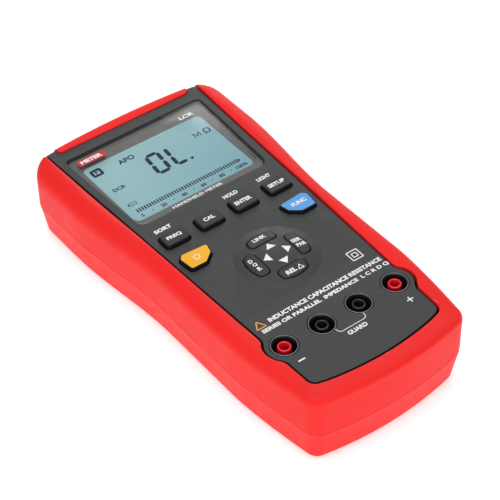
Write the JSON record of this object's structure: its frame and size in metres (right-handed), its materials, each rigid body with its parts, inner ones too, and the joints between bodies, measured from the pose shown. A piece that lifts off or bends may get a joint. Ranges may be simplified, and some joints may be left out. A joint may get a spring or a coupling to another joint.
{
  "type": "handheld LCR meter",
  "caption": "Handheld LCR meter in a dark case with a red jacket, a digital display, press keys, input jacks, a battery door and a tilt stand.",
  "frame": {"origin": "bottom centre of the meter's bounding box, lying on its back", "axes": "+X to the reader's right, +Y along the length towards the display end, +Z out of the front panel"},
  "size_m": [0.0996, 0.1932, 0.0382],
  "materials": {
    "red_jacket": "satin",
    "dark_case": "satin",
    "dark_rubber": "matte",
    "key_blue": "satin",
    "key_yellow": "satin",
    "lens_tint": "gloss",
    "display_glass": "gloss",
    "light_guide": "satin",
    "mat_grey": "matte",
    "chip_black": "satin",
    "jack_red": "satin",
    "contact_brass": "satin",
    "board_green": "satin",
    "relay_cream": "satin",
    "battery_jacket": "satin",
    "plated_steel": "satin"
  },
  "bodies": {
    "housing": {"front_case": "dark_case", "front_jacket": "red_jacket", "top_bar": "red_jacket", "rear_case": "dark_case", "rear_jacket": "red_jacket", "display_lens": "lens_tint", "lcd_glass": "display_glass", "lcd_frame": "dark_case", "backlight_panel": "light_guide", "contact_strip_lower": "dark_rubber", "contact_strip_upper": "dark_rubber", "display_board": "board_green", "keypad_mat": "mat_grey", "dome_sheet": "plated_steel", "jack_cup_1": "chip_black", "jack_insulator_1": "jack_red", "jack_contact_1": "contact_brass", "jack_cup_2": "chip_black", "jack_insulator_2": "chip_black", "jack_contact_2": "contact_brass", "jack_cup_3": "chip_black", "jack_insulator_3": "chip_black", "jack_contact_3": "contact_brass", "jack_cup_4": "chip_black", "jack_insulator_4": "jack_red", "jack_contact_4": "contact_brass", "input_board": "board_green", "input_header": "chip_black", "main_board": "board_green", "main_header": "chip_black", "processor_chip": "chip_black", "converter_chip": "chip_black", "timing_crystal": "plated_steel", "range_relay": "relay_cream", "buzzer": "chip_black", "battery": "battery_jacket", "battery_snap": "chip_black", "case_screw_1": "plated_steel", "case_screw_2": "plated_steel", "case_screw_3": "plated_steel", "case_screw_4": "plated_steel", "stand_pin": "plated_steel"},
    "key_far_left_body": {"key_far_left": "dark_rubber"},
    "key_left_body": {"key_left": "dark_rubber"},
    "key_right_body": {"key_right": "dark_rubber"},
    "key_far_right_body": {"key_far_right": "dark_rubber"},
    "power_key_body": {"power_key": "key_yellow"},
    "function_key_body": {"function_key": "key_blue"},
    "nav_key_right_body": {"nav_key_right": "dark_rubber"},
    "nav_key_up_body": {"nav_key_up": "dark_rubber"},
    "nav_key_left_body": {"nav_key_left": "dark_rubber"},
    "nav_key_down_body": {"nav_key_down": "dark_rubber"},
    "stand_body": {"tilt_stand": "dark_case"},
    "battery_door_body": {"battery_door": "dark_case", "battery_door_screw": "plated_steel"}
  },
  "joints": [
    {"name": "key_far_left_press", "type": "slide", "parent": "housing", "child": "key_far_left_body", "axis": [0, 0, -1], "range_m": [0, 0.001], "stiffness_N_per_m": 600, "springref_m": -0.0008},
    {"name": "key_left_press", "type": "slide", "parent": "housing", "child": "key_left_body", "axis": [0, 0, -1], "range_m": [0, 0.001], "stiffness_N_per_m": 600, "springref_m": -0.0008},
    {"name": "key_right_press", "type": "slide", "parent": "housing", "child": "key_right_body", "axis": [0, 0, -1], "range_m": [0, 0.001], "stiffness_N_per_m": 600, "springref_m": -0.0008},
    {"name": "key_far_right_press", "type": "slide", "parent": "housing", "child": "key_far_right_body", "axis": [0, 0, -1], "range_m": [0, 0.001], "stiffness_N_per_m": 600, "springref_m": -0.0008},
    {"name": "power_key_press", "type": "slide", "parent": "housing", "child": "power_key_body", "axis": [0, 0, -1], "range_m": [0, 0.001], "stiffness_N_per_m": 600, "springref_m": -0.0008},
    {"name": "function_key_press", "type": "slide", "parent": "housing", "child": "function_key_body", "axis": [0, 0, -1], "range_m": [0, 0.001], "stiffness_N_per_m": 600, "springref_m": -0.0008},
    {"name": "nav_key_right_press", "type": "slide", "parent": "housing", "child": "nav_key_right_body", "axis": [0, 0, -1], "range_m": [0, 0.0008], "stiffness_N_per_m": 600, "springref_m": -0.0008},
    {"name": "nav_key_up_press", "type": "slide", "parent": "housing", "child": "nav_key_up_body", "axis": [0, 0, -1], "range_m": [0, 0.0008], "stiffness_N_per_m": 600, "springref_m": -0.0008},
    {"name": "nav_key_left_press", "type": "slide", "parent": "housing", "child": "nav_key_left_body", "axis": [0, 0, -1], "range_m": [0, 0.0008], "stiffness_N_per_m": 600, "springref_m": -0.0008},
    {"name": "nav_key_down_press", "type": "slide", "parent": "housing", "child": "nav_key_down_body", "axis": [0, 0, -1], "range_m": [0, 0.0008], "stiffness_N_per_m": 600, "springref_m": -0.0008},
    {"name": "stand_tilt", "type": "hinge", "parent": "housing", "child": "stand_body", "pos_m": [0, 0.058, 0.0037], "axis": [1, 0, 0], "range_deg": [0, 70]},
    {"name": "battery_door_lift", "type": "slide", "parent": "housing", "child": "battery_door_body", "axis": [0, 0, -1], "range_m": [0, 0.03]}
  ]
}
